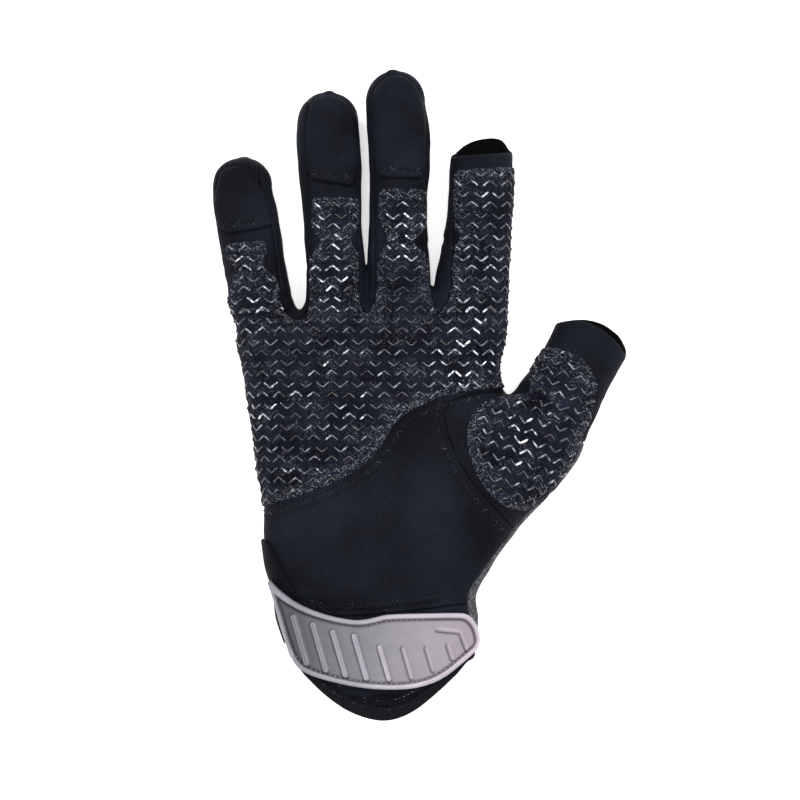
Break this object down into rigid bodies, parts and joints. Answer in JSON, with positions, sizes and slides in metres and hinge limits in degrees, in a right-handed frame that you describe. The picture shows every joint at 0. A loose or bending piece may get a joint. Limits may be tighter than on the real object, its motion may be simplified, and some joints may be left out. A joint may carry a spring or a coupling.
{
  "type": "neoprene sport glove",
  "caption": "Right-hand neoprene sport glove lying palm up, with open thumb and index tips, a printed grip palm and a moulded wrist strap.",
  "frame": {"origin": "middle of the whole glove seen from above, on the surface that it lies on", "axes": "+Y towards the fingertips, +X towards the thumb, +Z out of the palm"},
  "size_m": [0.1572, 0.2458, 0.0418],
  "materials": {
    "smooth_neoprene": "matte knit face",
    "grip_fabric": "matte speckled knit",
    "silicone_print": "glossy",
    "heather_fabric": "matte melange knit",
    "strap_fabric": "matte webbing",
    "strap_rubber": "satin, moulded",
    "thread": "satin thread",
    "lining": "matte brushed knit"
  },
  "bodies": {
    "root": {"palm_panel": "smooth_neoprene", "back_panel": "heather_fabric", "fourchette_index_middle": "smooth_neoprene", "fourchette_middle_ring": "smooth_neoprene", "fourchette_ring_little": "smooth_neoprene", "thumb_front_panel": "smooth_neoprene", "thumb_back_panel": "smooth_neoprene", "cuff_panel": "smooth_neoprene", "cuff_hem": "smooth_neoprene", "palm_grip": "grip_fabric", "thumb_grip": "grip_fabric", "little_tip_patch": "smooth_neoprene", "ring_tip_patch": "smooth_neoprene", "middle_tip_patch": "smooth_neoprene", "strap_band": "strap_fabric", "strap_tab": "strap_rubber"}
  },
  "joints": []
}
